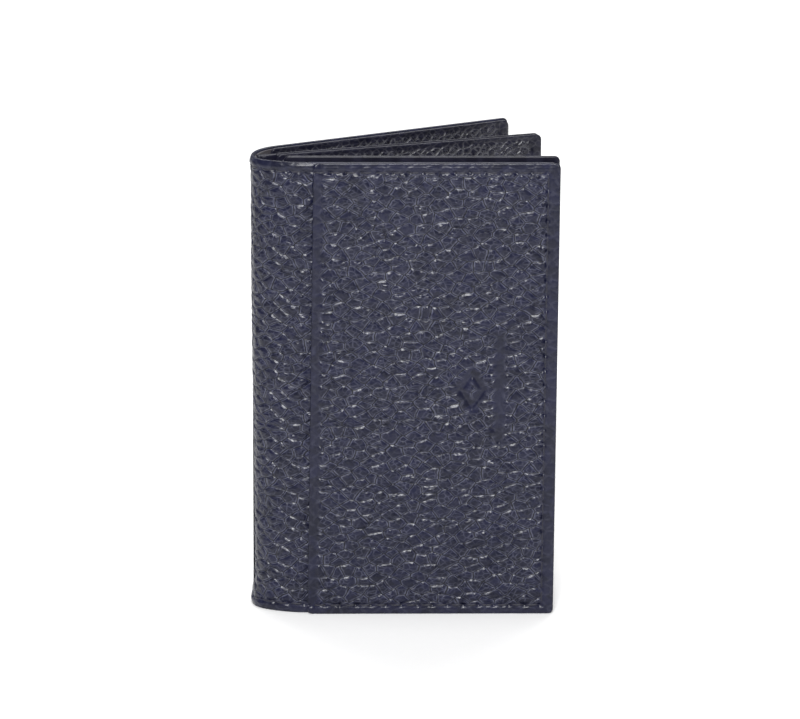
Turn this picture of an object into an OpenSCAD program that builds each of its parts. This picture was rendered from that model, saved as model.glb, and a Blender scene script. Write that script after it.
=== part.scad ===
// Upright leather card holder: two covers on a bowed spine, with a hinged leaf of card pockets between them.
// +X runs along the front cover to its free edge, +Y from the front cover to the back one, and +Z is up.
// It is drawn as it stands, with the back cover and the middle leaf part open. Sizes are in millimetres.

/* [Overall size] */
// Height of the covers
cover_h = 105; // [98:0.5:120]
// Width from the spine to the free edge of the front cover
holder_w = 68.5; // [66:0.1:80]
// How far the straight part of the back cover reaches
back_reach = 60.2; // [58:0.1:72]
// Length of the middle leaf from its hinge to its free edge
leaf_reach = 65.9; // [62:0.1:78]
// How far the middle leaf's bottom stays above the bottom of the covers
leaf_inset = 0.6; // [0.3:0.1:2]
// How far the front inner panel stands above the top of the covers
inner_rise = 0.8; // [0:0.1:1]

/* [Standing pose] */
// Angle between the covers
open_angle = 28.3; // [20:0.1:32]
// Angle between the front cover and the middle leaf
leaf_angle = 18.8; // [14:0.1:21]

/* [Spine] */
// Radius of the spine's tight turn beside the front cover
tight_r = 5.6; // [5:0.1:7]
// How far the tight turn goes before the spine flattens
tight_turn = 60; // [50:1:70]
// Radius of the gentle turn into the front cover
gentle_r = 20; // [16:0.5:22]
// Radius of the spine beside the back cover
back_r = 10.6; // [10:0.1:12]
// Distance from the spine's outside to the middle leaf's hinge line
leaf_hinge_x = 3.2; // [3:0.1:4]

/* [Leather and linings] */
// Thickness of the leather of the covers and spine
cover_t = 1.1; // [0.9:0.05:1.3]
// Thickness of the outer slip-pocket panel on the front cover
overlay_t = 0.7; // [0.5:0.05:1]
// Depth of the slip pocket behind the outer panel
overlay_gap = 0.2; // [0.1:0.05:0.4]
// Where the outer panel's open edge lies, measured from the spine
overlay_x = 13.4; // [13:0.1:18]
// Thickness of the lining glued inside the covers and spine
lining_t = 0.4; // [0.2:0.05:0.5]
// Thickness of the front cover's stiffener
front_stiff_t = 0.9; // [0.6:0.05:1]
// Thickness of the back cover's stiffener
back_stiff_t = 0.6; // [0.4:0.05:0.8]
// Depth of the full-height slip pocket behind the front inner panel
slip_gap = 0.5; // [0.3:0.05:0.6]
// Thickness of the inner panels of the covers
inner_t = 0.8; // [0.6:0.05:0.9]
// Thickness of the leaf's two face panels
leaf_panel_t = 0.7; // [0.5:0.05:0.8]
// Thickness of the leaf's core
leaf_core_t = 0.6; // [0.4:0.05:0.8]
// Thickness of the leather of a card pocket
pocket_t = 0.55; // [0.4:0.05:0.6]
// Thickness of the fabric that closes the upper card pocket
fabric_t = 0.25; // [0.15:0.05:0.35]

/* [Card pockets] */
// Height of the upper pocket's mouth
upper_mouth = 92; // [88:0.5:96]
// Height of the lower pocket's mouth
lower_mouth = 82; // [76:0.5:86]
// How far the upper pocket's leather goes down behind the lower pocket
pocket_lap = 6; // [4:0.5:10]
// Height of the floor of the upper pocket
upper_floor = 13.5; // [10:0.5:16]
// Width of the seam that closes a pocket
seam_w = 2.6; // [2:0.1:2.8]

/* [Stitching] */
// Distance from the free edge to the stitch line
stitch_inset = 2.7; // [2.4:0.1:3.2]
// Distance from the covers' top and bottom to the stitch line on their outside
edge_inset = 2.1; // [1.8:0.1:3]
// Distance between stitches
stitch_pitch = 3.45; // [2.8:0.05:4]
// Length of one stitch
stitch_len = 2.5; // [1.8:0.1:2.6]
// Thickness of the thread
thread_t = 0.4; // [0.3:0.05:0.5]

/* [Hidden] */

navy = [0.13, 0.14, 0.22];
deep_navy = [0.09, 0.10, 0.16];
lining_brown = [0.33, 0.31, 0.31];
fabric_grey = [0.16, 0.17, 0.21];
board_grey = [0.62, 0.60, 0.55];
thread_navy = [0.06, 0.07, 0.14];

corner_r = 1.2;                          // free corners of the covers and panels
pocket_corner_r = 0.4;                   // free corners of the card pockets
leaf_corner_r = 1.3;                     // free corners of the middle leaf
lining_trim = 0.4;                       // how far the linings stay inside the leather's edge
joint_gap = 0.15;                        // gap between the spine and a cover where the leather bends
arc_steps = 12;                          // straight pieces in one turn of the spine
groove_depth = 0.3;                      // how deep the stitches lie in the leather
groove_w = 0.7;                          // width of the groove that holds them
cut = 1;                                 // how far a cutting shape stands clear of a face
mark_depth = 0.15;                       // depth of the plain mark pressed into the outer pocket
mark_size = [6, 8.5];                    // width and height of its lozenge
mark_line_w = 0.9;                       // width of its lines
mark_bar_len = 24;                       // length of its upright bar
mark_bar_gap = 3.2;                      // from the lozenge to the bar
mark_place = [49.5, 53];                 // middle of the lozenge, from the spine and from the bottom
back_close = 28;                         // how far the back cover turns to close
notch_angle = back_close + 1;            // notch inside the back fold that lets the cover close
hinge_roll_r = 1.1;                      // rounded inner edge of the middle leaf
tongue_t = 1.4;                          // thickness of the tongue beside it
tape_t = 0.3;                            // thickness of the tape that the leaf is sewn to
tape_steps = [5, 4];                     // straight pieces of the spine it covers, to the front and the back
board_trim = 1;                          // how far stiffeners and the leaf's core stay inside the edge
board_corner_r = 1;                      // free corners of the stiffeners, core and linings

front_face = overlay_t + overlay_gap;    // outer face of the front cover's leather
flat_x = tight_r + (gentle_r - tight_r) * cos(tight_turn);     // where the front cover becomes flat
spine_y = front_face + tight_r * sin(tight_turn) + gentle_r * (1 - sin(tight_turn));
back_turn = 90 - open_angle;             // how far the spine turns towards the back cover
back_start = [back_r * (1 - cos(back_turn)), spine_y + back_r * sin(back_turn)];
back_tip_y = back_start[1] + back_reach * sin(open_angle);
origin = [holder_w / 2, back_tip_y / 2]; // middle of the plan

// Hinge line about which half of the spine's bend unrolls: p is where the cover starts, q where that point
// lies with the spine flat, and turn is the angle between the two.
function unroll_axis(p, q, turn) =
    (p + q) / 2 + [p[1] - q[1], q[0] - p[0]] / (2 * tan(turn / 2));

front_arc = (tight_r * tight_turn + gentle_r * (90 - tight_turn)) * PI / 180;
back_arc = back_r * back_turn * PI / 180;
front_axis = unroll_axis([flat_x, front_face], [0, spine_y - front_arc], -90);
back_axis = unroll_axis(back_start, [0, spine_y + back_arc], back_turn);
front_cut = atan2(spine_y - front_axis[1], tight_r - front_axis[0]);
back_cut = atan2(back_axis[1] - spine_y, back_r - back_axis[0]);
gap_turn = joint_gap / tight_r * 180 / PI;

// A point of the spine's bend on the front side: a is the turn from the spine's middle, d the depth below
// the outer face.
function front_bend(a, d) = a <= tight_turn
    ? [tight_r, spine_y] - (tight_r - d) * [cos(a), sin(a)]
    : [flat_x, front_face + gentle_r] - (gentle_r - d) * [cos(a), sin(a)];
// The same on the back side, and a point of the flat part beyond it at distance u along the back cover.
function back_bend(a, d) = [back_r, spine_y] + (back_r - d) * [-cos(a), sin(a)];
function back_flat(u, d) = back_start + u * [cos(open_angle), sin(open_angle)]
    + d * [sin(open_angle), -cos(open_angle)];

// Turn at a distance along the outer face from the spine's middle.
function front_turn_at(s) = s * 180 / PI <= tight_r * tight_turn
    ? s / tight_r * 180 / PI
    : tight_turn + (s * 180 / PI - tight_r * tight_turn) / gentle_r;
function back_turn_at(s) = s / back_r * 180 / PI;

// Lines in plan at depth d: each is a list of points between two turns.
function steps(from, to) = [for (i = [0 : arc_steps]) from + (to - from) * i / arc_steps];
function front_line(from, to, d) = [for (a = steps(from, to)) front_bend(a, d)];
function back_line(from, to, d) = [for (a = steps(from, to)) back_bend(a, d)];
function spine_line(front_to, back_to, d) = concat(
    front_line(front_to, 0, d), [for (i = [1 : arc_steps]) back_bend(back_to * i / arc_steps, d)]);
function backwards(list) = [for (i = [len(list) - 1 : -1 : 0]) list[i]];

// The band between two such lines.
module band(outer, inner) polygon(concat(outer, backwards(inner)));

// Where the back cover's bend starts: a wedge with its point on the back hinge line is cut away, so that the
// cover can close. The pieces it cuts start a little before it.
wedge_start = 60;                        // how far the wedge reaches back over their raw ends
module back_notch()
    translate(back_axis) rotate(-back_cut)
        polygon([[0, 0], 10 * [cos(wedge_start), -sin(wedge_start)],
                 10 * [cos(notch_angle), sin(notch_angle)]]);

// Places its children in plan; the leaves and covers are drawn with x along them from their own start.
module in_plan() translate([-origin[0], -origin[1], 0]) children();
module on_back() in_plan() translate(back_start) rotate(open_angle) mirror([0, 1, 0]) children();
module on_leaf() in_plan() translate([leaf_hinge_x, spine_y]) rotate(leaf_angle) children();

// A flat sheet standing on edge, from x0 to x1 and z0 to z1, its near face at y0; r rounds its free corners.
module sheet(x0, x1, z0, z1, y0, t, r)
    translate([0, y0 + t, 0]) rotate([90, 0, 0]) linear_extrude(t) union() {
        translate([x0, z0]) square([x1 - x0 - r, z1 - z0]);
        translate([x0, z0 + r]) square([x1 - x0, z1 - z0 - 2 * r]);
        for (z = [z0 + r, z1 - r]) translate([x1 - r, z]) circle(r = r, $fn = 48);
    }

// The seam that closes a pocket along its bottom and both sides, between the sheets at y0 and y0 + t.
module pocket_seam(x0, x1, z0, z1, y0, t) difference() {
    sheet(x0, x1, z0, z1, y0, t, corner_r);
    translate([x0 + seam_w, y0 - 1, z0 + seam_w]) cube([x1 - x0 - 2 * seam_w, t + 2, z1 - z0]);
}

// Upper card pocket: a strip of leather whose fabric part hangs behind the lower pocket.
module upper_pocket(x0, x1, y0) difference() {
    translate([x0, y0, lower_mouth - pocket_lap])
        cube([x1 - x0, pocket_t, upper_mouth - lower_mouth + pocket_lap]);
    groove_z(x1 - stitch_inset, lower_mouth, upper_mouth + cut, y0 + pocket_t);
}

module pocket_fabric(x0, x1, y0)
    translate([x0 + seam_w, y0, upper_floor])
        cube([x1 - x0 - 2 * seam_w, fabric_t, lower_mouth - pocket_lap - upper_floor]);

// Lower card pocket: a full sheet, with the seam that holds it off the panel behind the upper pocket.
module lower_pocket(x0, x1, z0, y0) difference() {
    union() {
        sheet(x0, x1, z0, lower_mouth, y0 + pocket_t, pocket_t, pocket_corner_r);
        pocket_seam(x0, x1, z0, lower_mouth - pocket_lap, y0, pocket_t);
    }
    groove_x(x0 - cut, x1 - stitch_inset, z0 + stitch_inset, y0 + 2 * pocket_t);
    groove_z(x1 - stitch_inset, z0 + stitch_inset - groove_w / 2, lower_mouth + cut, y0 + 2 * pocket_t);
}

// Panel behind the card pockets, with its groove above them. Its top edge is turned and glued.
module inner_panel(x0, x1, z0, z1, y0, t, r) difference() {
    sheet(x0, x1, z0, z1, y0, t, r);
    groove_z(x1 - stitch_inset, upper_mouth, z1 - stitch_inset, y0 + t);
}

// One stitch along x or along z, lying in the groove of a face that looks towards +y at y0.
module stitch_x(x, z, y0)
    translate([x - stitch_len / 2, y0 - groove_depth, z - thread_t / 2])
        cube([stitch_len, thread_t, thread_t]);
module stitch_z(x, z, y0)
    translate([x - thread_t / 2, y0 - groove_depth, z - stitch_len / 2])
        cube([thread_t, thread_t, stitch_len]);

// The grooves themselves, as cutting shapes.
module groove_x(x0, x1, z, y0)
    translate([x0, y0 - groove_depth, z - groove_w / 2]) cube([x1 - x0, groove_depth + cut, groove_w]);
module groove_z(x, z0, z1, y0)
    translate([x - groove_w / 2, y0 - groove_depth, z0]) cube([groove_w, groove_depth + cut, z1 - z0]);

// Positions of a row of stitches between two ends.
function row(from, to) =
    let (n = floor((to - from - stitch_len) / stitch_pitch), first = (from + to - n * stitch_pitch) / 2)
    [for (i = [0 : n]) first + i * stitch_pitch];

// Depth of the pocket stack above an inner panel at a height.
function stack_at(z) = z > upper_mouth ? 0 : z > lower_mouth ? pocket_t : 2 * pocket_t;

// A row of stitches up the free side and along the bottom of a pocket face, over a panel whose face is at y0.
module pocket_stitches(x0, x1, z0, z1, y0) {
    for (z = row(z0 + stitch_inset, z1 - stitch_inset))
        if (abs(z - lower_mouth) > stitch_len / 2 && abs(z - upper_mouth) > stitch_len / 2)
            stitch_z(x1 - stitch_inset, z, y0 + stack_at(z));
    for (x = row(x0 + 1, x1 - stitch_inset - 1))
        stitch_x(x, z0 + stitch_inset, y0 + stack_at(z0 + stitch_inset));
}

// The outer stitches of a cover whose outer face looks towards -y at y = 0, and their grooves.
module cover_stitches(x0, x1) mirror([0, 1, 0]) {
    for (x = row(x0, x1 - stitch_inset), z = [edge_inset, cover_h - edge_inset]) stitch_x(x, z, 0);
    for (z = row(edge_inset, cover_h - edge_inset)) stitch_z(x1 - stitch_inset, z, 0);
}
module cover_grooves(x0, x1) mirror([0, 1, 0]) {
    for (z = [edge_inset, cover_h - edge_inset])
        groove_x(x0 - cut, x1 - stitch_inset + groove_w / 2, z, 0);
    groove_z(x1 - stitch_inset, edge_inset, cover_h - edge_inset, 0);
}

// Grooves along the top and bottom of a bend; the band it is given runs from outside the face to their floor.
module bend_grooves()
    for (z = [edge_inset, cover_h - edge_inset])
        translate([0, 0, z - groove_w / 2]) linear_extrude(groove_w) children();

// A stitch at point p of a bend, along the direction angle.
module bend_stitch(p, angle)
    for (z = [edge_inset, cover_h - edge_inset])
        translate([p[0], p[1], z]) rotate(angle) cube([stitch_len, thread_t, thread_t], center = true);

/* ---- spine ---- */

spine_front_end = front_cut - gap_turn;

module spine_band(d0, d1)
    band(spine_line(spine_front_end, back_cut, d0), spine_line(spine_front_end, back_cut, d1));

module spine_cover() color(navy) in_plan() difference() {
    linear_extrude(cover_h) spine_band(0, cover_t);
    bend_grooves() spine_band(-cut, groove_depth);
}

module spine_lining() color(lining_brown) in_plan()
    translate([0, 0, lining_trim]) linear_extrude(cover_h - 2 * lining_trim)
        spine_band(cover_t, cover_t + lining_t);

stitch_mid = groove_depth - thread_t / 2;        // depth of a stitch's middle below the face

// Stitches along the top and bottom of the spine: one at its middle and one on either side.
module spine_stitching() color(thread_navy) in_plan() {
    bend_stitch(back_bend(0, stitch_mid), 90);
    bend_stitch(back_bend(back_turn_at(stitch_pitch), stitch_mid), 90 - back_turn_at(stitch_pitch));
    bend_stitch(front_bend(front_turn_at(stitch_pitch), stitch_mid), front_turn_at(stitch_pitch) - 90);
}

// The tape inside the spine that the middle leaf is sewn to. Its corners are at the same turns as those of
// the spine's lining, so that the two lie flat on each other.
function tape_line(d) = concat(
    [for (i = [tape_steps[0] : -1 : 0]) front_bend(spine_front_end * i / arc_steps, d)],
    [for (i = [1 : tape_steps[1]]) back_bend(back_cut * i / arc_steps, d)]);
module leaf_anchor_tape() color(deep_navy) in_plan()
    translate([0, 0, leaf_inset]) linear_extrude(cover_h - 2 * leaf_inset)
        band(tape_line(cover_t + lining_t), tape_line(cover_t + lining_t + tape_t));

/* ---- front cover ---- */

front_lining_y = front_face + cover_t + front_stiff_t;
front_inner_y = front_lining_y + lining_t + slip_gap;
front_pocket_y = front_inner_y + inner_t;
front_inner_x = 7.5;                     // where the front inner panel starts
front_inner_top = cover_h + inner_rise;
stiff_x = flat_x + 1.5;                  // where the front stiffener starts
front_bend_start = front_cut + gap_turn;

module front_cover_leather() color(navy) in_plan() difference() {
    union() {
        linear_extrude(cover_h)
            band(front_line(front_bend_start, 90, 0), front_line(front_bend_start, 90, cover_t));
        sheet(flat_x, holder_w, 0, cover_h, front_face, cover_t, corner_r);
    }
    bend_grooves()
        band(front_line(front_bend_start - 1, 90, -cut), front_line(front_bend_start - 1, 90, groove_depth));
}

// A plain mark: a lozenge outline beside an upright bar.
module mark() translate(mark_place) {
    difference() {
        lozenge(mark_size);
        lozenge(mark_size - 2.4 * [mark_line_w, mark_line_w]);
    }
    translate([mark_size[0] / 2 + mark_bar_gap, 0]) {
        square([mark_line_w, mark_bar_len - mark_line_w], center = true);
        for (end = [-1, 1])
            translate([0, end * (mark_bar_len - mark_line_w) / 2]) circle(d = mark_line_w, $fn = 32);
    }
}
module lozenge(size)
    polygon([[-size[0] / 2, 0], [0, -size[1] / 2], [size[0] / 2, 0], [0, size[1] / 2]]);

// Outer pocket: its edge beside the spine is open, and the other three are sewn down.
module front_outer_pocket() color(navy) in_plan() difference() {
    sheet(overlay_x, holder_w, 0, cover_h, 0, overlay_t + overlay_gap, corner_r);
    translate([overlay_x - cut, overlay_t, seam_w])
        cube([holder_w - overlay_x + cut - seam_w, cut, cover_h - 2 * seam_w]);
    cover_grooves(overlay_x, holder_w);
    translate([0, mark_depth, 0]) rotate([90, 0, 0]) linear_extrude(cut) mark();
}

module front_stiffener() color(board_grey) in_plan()
    sheet(stiff_x, holder_w - board_trim, board_trim, cover_h - board_trim,
          front_face + cover_t, front_stiff_t, board_corner_r);

// The lining follows the bend, climbs onto the stiffener and covers it.
module front_cover_lining() color(lining_brown) in_plan() {
    outside = front_face + cover_t;
    translate([0, 0, lining_trim]) linear_extrude(cover_h - 2 * lining_trim)
        band(concat(front_line(front_bend_start, 90, cover_t),
                    [[stiff_x, outside], [stiff_x, front_lining_y + lining_t]]),
             concat(front_line(front_bend_start, 90, cover_t + lining_t),
                    [[stiff_x - lining_t, outside + lining_t],
                     [stiff_x - lining_t, front_lining_y + lining_t]]));
    sheet(stiff_x - lining_t, holder_w - lining_trim, lining_trim, cover_h - lining_trim,
          front_lining_y, lining_t, board_corner_r);
}

module front_inner_panel() color(deep_navy) in_plan() {
    inner_panel(front_inner_x, holder_w, 0, front_inner_top, front_inner_y, inner_t, corner_r);
    pocket_seam(stiff_x, holder_w, 0, cover_h - stitch_inset, front_lining_y + lining_t, slip_gap);
}

module front_upper_pocket() color(deep_navy) in_plan()
    upper_pocket(front_inner_x, holder_w, front_pocket_y);

module front_pocket_fabric() color(fabric_grey) in_plan()
    pocket_fabric(front_inner_x, holder_w, front_pocket_y);

module front_lower_pocket() color(deep_navy) in_plan()
    lower_pocket(front_inner_x, holder_w, 0, front_pocket_y);

// Stitches round the outer pocket, and two on the bend between it and the spine.
module front_cover_stitching() color(thread_navy) in_plan() {
    cover_stitches(overlay_x, holder_w);
    for (i = [2 : 3]) {
        turn = front_turn_at(i * stitch_pitch + 1);
        bend_stitch(front_bend(turn, stitch_mid), turn - 90);
    }
}

module front_pocket_stitching() color(thread_navy) in_plan()
    pocket_stitches(front_inner_x, holder_w, 0, front_inner_top, front_pocket_y);

/* ---- back cover, drawn with y from its outer face inwards ---- */

back_lining_y = cover_t + back_stiff_t;
back_inner_y = back_lining_y + lining_t;
back_pocket_y = back_inner_y + inner_t;
back_stiff_x = 1.5;                      // where the back stiffener starts
back_inner_x = -2.5;                     // where the back inner panel starts, over the bend
back_inner_end = back_reach - 1;         // where it ends, short of the cover's turned edge
back_groove_x = 1;                       // where the stitches' groove starts on the back cover

// A line at depth d round the back bend, from turn a, and along the flat part to distance u.
function back_outline(a, u, d) = concat(back_line(a, back_turn, d), [back_flat(u, d)]);
back_raw_start = back_cut - 2;           // raw end that the wedge cuts away

module back_cover_leather() color(navy) difference() {
    intersection() {
        in_plan() translate([0, 0, -cut]) linear_extrude(cover_h + 2 * cut) difference() {
            band(back_outline(back_raw_start, back_reach + cut, 0),
                 back_outline(back_raw_start, back_reach + cut, cover_t));
            back_notch();
        }
        on_back() sheet(-2 * back_r, back_reach, 0, cover_h, -2 * back_r, 4 * back_r, corner_r);
    }
    on_back() cover_grooves(back_groove_x + cut, back_reach);
}

module back_stiffener() color(board_grey) on_back()
    sheet(back_stiff_x, back_reach - board_trim, board_trim, cover_h - board_trim,
          cover_t, back_stiff_t, board_corner_r);

module back_cover_lining() color(lining_brown) {
    in_plan() translate([0, 0, lining_trim]) linear_extrude(cover_h - 2 * lining_trim) difference() {
        band(concat(back_line(back_raw_start, back_turn, cover_t),
                    [back_flat(back_stiff_x, cover_t), back_flat(back_stiff_x, back_lining_y + lining_t)]),
             concat(back_line(back_raw_start, back_turn, cover_t + lining_t),
                    [back_flat(back_stiff_x - lining_t, cover_t + lining_t),
                     back_flat(back_stiff_x - lining_t, back_lining_y + lining_t)]));
        back_notch();
    }
    on_back()
        sheet(back_stiff_x - lining_t, back_reach - lining_trim, lining_trim, cover_h - lining_trim,
              back_lining_y, lining_t, board_corner_r);
}

module back_inner_panel() color(deep_navy) on_back()
    inner_panel(back_inner_x, back_inner_end, 0, cover_h, back_inner_y, inner_t, corner_r);

module back_upper_pocket() color(deep_navy) on_back()
    upper_pocket(back_inner_x, back_inner_end, back_pocket_y);
module back_pocket_fabric() color(fabric_grey) on_back()
    pocket_fabric(back_inner_x, back_inner_end, back_pocket_y);
module back_lower_pocket() color(deep_navy) on_back()
    lower_pocket(back_inner_x, back_inner_end, 0, back_pocket_y);

module back_cover_stitching() color(thread_navy) on_back() cover_stitches(back_groove_x, back_reach);

module back_pocket_stitching() color(thread_navy) on_back()
    pocket_stitches(back_inner_x, back_inner_end, 0, cover_h, back_pocket_y);

/* ---- middle leaf, drawn with y = 0 at its middle ---- */

leaf_x = 2.6;                            // where the leaf's sheets start, beside the hinge roll
leaf_z0 = leaf_inset;
leaf_z1 = cover_h;
leaf_panel_y = leaf_core_t / 2;
leaf_pocket_y = leaf_panel_y + leaf_panel_t;

// The rolled leather edge that the leaf turns on, with the tongue that the leaf's sheets are sewn to.
module leaf_hinge_strip() color(deep_navy) on_leaf()
    translate([0, 0, leaf_z0]) {
        cylinder(r = hinge_roll_r, h = leaf_z1 - leaf_z0, $fn = 48);
        translate([0, -tongue_t / 2, 0]) cube([leaf_x, tongue_t, leaf_z1 - leaf_z0]);
    }

module leaf_core() color(board_grey) on_leaf()
    sheet(leaf_x, leaf_reach - board_trim, leaf_z0 + board_trim, leaf_z1 - board_trim,
          -leaf_core_t / 2, leaf_core_t, board_corner_r);

// One face of the leaf: the rear face is drawn, and the front face is its mirror image.
module leaf_face(side) on_leaf() mirror([0, side == "front" ? 1 : 0, 0]) children();

module leaf_panel(side) leaf_face(side)
    inner_panel(leaf_x, leaf_reach, leaf_z0, leaf_z1, leaf_panel_y, leaf_panel_t, leaf_corner_r);
module leaf_upper_pocket(side) leaf_face(side) upper_pocket(leaf_x, leaf_reach, leaf_pocket_y);
module leaf_pocket_fabric(side) leaf_face(side) pocket_fabric(leaf_x, leaf_reach, leaf_pocket_y);
module leaf_lower_pocket(side) leaf_face(side) lower_pocket(leaf_x, leaf_reach, leaf_z0, leaf_pocket_y);

module leaf_front_panel() color(deep_navy) leaf_panel("front");
module leaf_front_upper_pocket() color(deep_navy) leaf_upper_pocket("front");
module leaf_front_pocket_fabric() color(fabric_grey) leaf_pocket_fabric("front");
module leaf_front_lower_pocket() color(deep_navy) leaf_lower_pocket("front");
module leaf_rear_panel() color(deep_navy) leaf_panel("rear");
module leaf_rear_upper_pocket() color(deep_navy) leaf_upper_pocket("rear");
module leaf_rear_pocket_fabric() color(fabric_grey) leaf_pocket_fabric("rear");
module leaf_rear_lower_pocket() color(deep_navy) leaf_lower_pocket("rear");

module leaf_stitching() color(thread_navy)
    for (side = ["front", "rear"]) leaf_face(side)
        pocket_stitches(leaf_x, leaf_reach, leaf_z0, leaf_z1, leaf_pocket_y);

spine_cover();
spine_lining();
spine_stitching();
leaf_anchor_tape();
front_cover_leather();
front_outer_pocket();
front_stiffener();
front_cover_lining();
front_inner_panel();
front_upper_pocket();
front_pocket_fabric();
front_lower_pocket();
front_cover_stitching();
front_pocket_stitching();
back_cover_leather();
back_stiffener();
back_cover_lining();
back_inner_panel();
back_upper_pocket();
back_pocket_fabric();
back_lower_pocket();
back_cover_stitching();
back_pocket_stitching();
leaf_hinge_strip();
leaf_core();
leaf_front_panel();
leaf_front_upper_pocket();
leaf_front_pocket_fabric();
leaf_front_lower_pocket();
leaf_rear_panel();
leaf_rear_upper_pocket();
leaf_rear_pocket_fabric();
leaf_rear_lower_pocket();
leaf_stitching();
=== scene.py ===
# Looks of the card holder: pebbled leather panels, turned edges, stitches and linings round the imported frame.
# Shapes are worked out in millimetres in the CAD's plan frame, and turned into metres when a mesh is made.
import math

import bpy
import numpy as np
from mathutils import Matrix, Vector


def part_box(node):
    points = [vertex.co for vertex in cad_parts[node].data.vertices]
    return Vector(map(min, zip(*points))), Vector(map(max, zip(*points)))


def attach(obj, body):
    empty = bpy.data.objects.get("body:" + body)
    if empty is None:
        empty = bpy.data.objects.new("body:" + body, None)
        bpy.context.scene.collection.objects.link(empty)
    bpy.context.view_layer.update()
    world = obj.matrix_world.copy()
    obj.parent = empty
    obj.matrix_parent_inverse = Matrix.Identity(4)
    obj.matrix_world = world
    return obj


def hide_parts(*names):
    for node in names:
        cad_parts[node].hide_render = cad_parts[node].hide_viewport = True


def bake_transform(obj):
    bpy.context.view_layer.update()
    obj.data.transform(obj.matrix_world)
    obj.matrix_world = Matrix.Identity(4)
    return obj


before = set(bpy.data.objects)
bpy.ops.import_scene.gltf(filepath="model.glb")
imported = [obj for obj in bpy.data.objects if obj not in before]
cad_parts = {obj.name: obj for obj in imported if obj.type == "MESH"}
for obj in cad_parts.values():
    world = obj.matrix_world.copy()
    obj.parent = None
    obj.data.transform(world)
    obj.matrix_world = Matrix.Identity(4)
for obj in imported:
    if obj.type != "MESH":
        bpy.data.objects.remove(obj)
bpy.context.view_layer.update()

# ------------------------------------------------ the holder's sizes, in millimetres and radians
TIGHT_R = 5.6                     # the spine's turn beside the front cover
TIGHT_TURN = math.radians(60)
GENTLE_R = 20.0                   # the turn that follows it, into the front cover
BACK_R = 10.6                     # the spine's turn beside the back cover
OPEN_ANGLE = math.radians(28.3)   # between the covers
LEAF_ANGLE = math.radians(18.8)   # between the front cover and the middle leaf
LEAF_HINGE_X = 3.2                # from the spine's outside to the leaf's hinge line
COVER_T = 1.1                     # leather of the covers and spine
OVERLAY_T = 0.7                   # outer pocket's leather
OVERLAY_GAP = 0.2                 # room behind the outer pocket
OVERLAY_X = 13.4                  # where the outer pocket starts
LINING_T = 0.4
FRONT_BOARD_T = 0.9
BACK_BOARD_T = 0.6
SLIP_GAP = 0.5                    # room behind the front inner panel
INNER_T = 0.8                     # inner panels of the covers
LEAF_CORE_T = 0.6
LEAF_PANEL_T = 0.7
POCKET_T = 0.55
UPPER_MOUTH = 92.0                # heights of the card pockets' mouths
LOWER_MOUTH = 82.0
POCKET_LAP = 6.0
SEAM_W = 2.6
STITCH_INSET = 2.7                # from the free edges
EDGE_INSET = 2.1                  # from the covers' top and bottom, on their outside
STITCH_PITCH = 3.45
STITCH_LEN = 2.5
THREAD_R = 0.20
THREAD_SUNK = 0.18                # how far below the face the middle of a stitch lies
THREAD_DIVE = 0.5                 # and how much deeper its ends
THREAD_EXTRA = 0.35               # length of a stitch that is inside the leather
THREAD_STEPS, THREAD_SIDES = 13, 9  # its mesh, along and round
CORNER_R = 1.2
LEAF_CORNER_R = 1.3
POCKET_CORNER_R = 0.6
LEAF_INSET = 0.6                  # how far the leaf's bottom stays above the covers' bottom
INNER_RISE = 0.8                  # how far the front inner panel stands above the covers
FRONT_INNER_X = 7.5               # where the front inner panel starts
LEAF_X = 2.6                      # where the leaf's sheets start
BACK_INNER_X = -2.5               # where the back inner panel starts, over the bend
BACK_INNER_TRIM = 1.0             # how far it stays inside the back cover's free edge
BOARD_X = 1.5                     # from the end of a bend to the board
MARK_PLACE = (49.5, 53.0)         # middle of the plain mark
MARK_SIZE = (6.0, 8.5)
MARK_LINE_W = 0.9
MARK_BAR = (6.2, 24.0)            # the upright bar's place beside the lozenge, and its length
MARK_DEPTH = 0.30
OPEN_EDGE_LEAN = 0.6              # how far the outer pocket's open edge leans at its top and bottom
COVER_NOSE = 0.45                 # radii of the sheets' rounded edges
OVERLAY_NOSE = 0.32
LINING_NOSE = 0.16
LINING_CORNER = 1.2
LINING_TRIM = 0.4                 # how far the linings stay inside the covers' edges
SEAM_TRIM = 0.25                  # how far a seam's strip stays inside the sheets' edges
SPINE_STITCHES = 5                # stitches on the spine's own part of a hem

MM = 0.001                        # metres to a millimetre
FRONT_FACE = OVERLAY_T + OVERLAY_GAP  # the front cover's leather, from the outer pocket's face
FLAT_X = TIGHT_R + (GENTLE_R - TIGHT_R) * math.cos(TIGHT_TURN)
SPINE_Y = FRONT_FACE + TIGHT_R * math.sin(TIGHT_TURN) + GENTLE_R * (1 - math.sin(TIGHT_TURN))
BACK_TURN = math.pi / 2 - OPEN_ANGLE
BACK_START = (BACK_R * (1 - math.cos(BACK_TURN)), SPINE_Y + BACK_R * math.sin(BACK_TURN))
TIGHT_LEN = TIGHT_R * TIGHT_TURN
FRONT_ARC = TIGHT_LEN + GENTLE_R * (math.pi / 2 - TIGHT_TURN)
BACK_ARC = BACK_R * BACK_TURN

# places that the frame gives
pocket_low, pocket_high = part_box("front_outer_pocket")
ORIGIN = (OVERLAY_X - pocket_low.x / MM, -pocket_low.y / MM)
HEIGHT = (pocket_high.z - pocket_low.z) / MM
WIDTH = pocket_high.x / MM + ORIGIN[0]
back_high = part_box("back_cover_leather")[1]
BACK_REACH = (back_high.y / MM + ORIGIN[1] - BACK_START[1]) / math.sin(OPEN_ANGLE)
leaf_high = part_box("leaf_front_panel")[1]
LEAF_FACE = LEAF_CORE_T / 2 + LEAF_PANEL_T
LEAF_RUN = leaf_high.x / MM + ORIGIN[0] - LEAF_HINGE_X - LEAF_FACE * math.sin(LEAF_ANGLE)
LEAF_REACH = LEAF_RUN / math.cos(LEAF_ANGLE)


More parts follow.
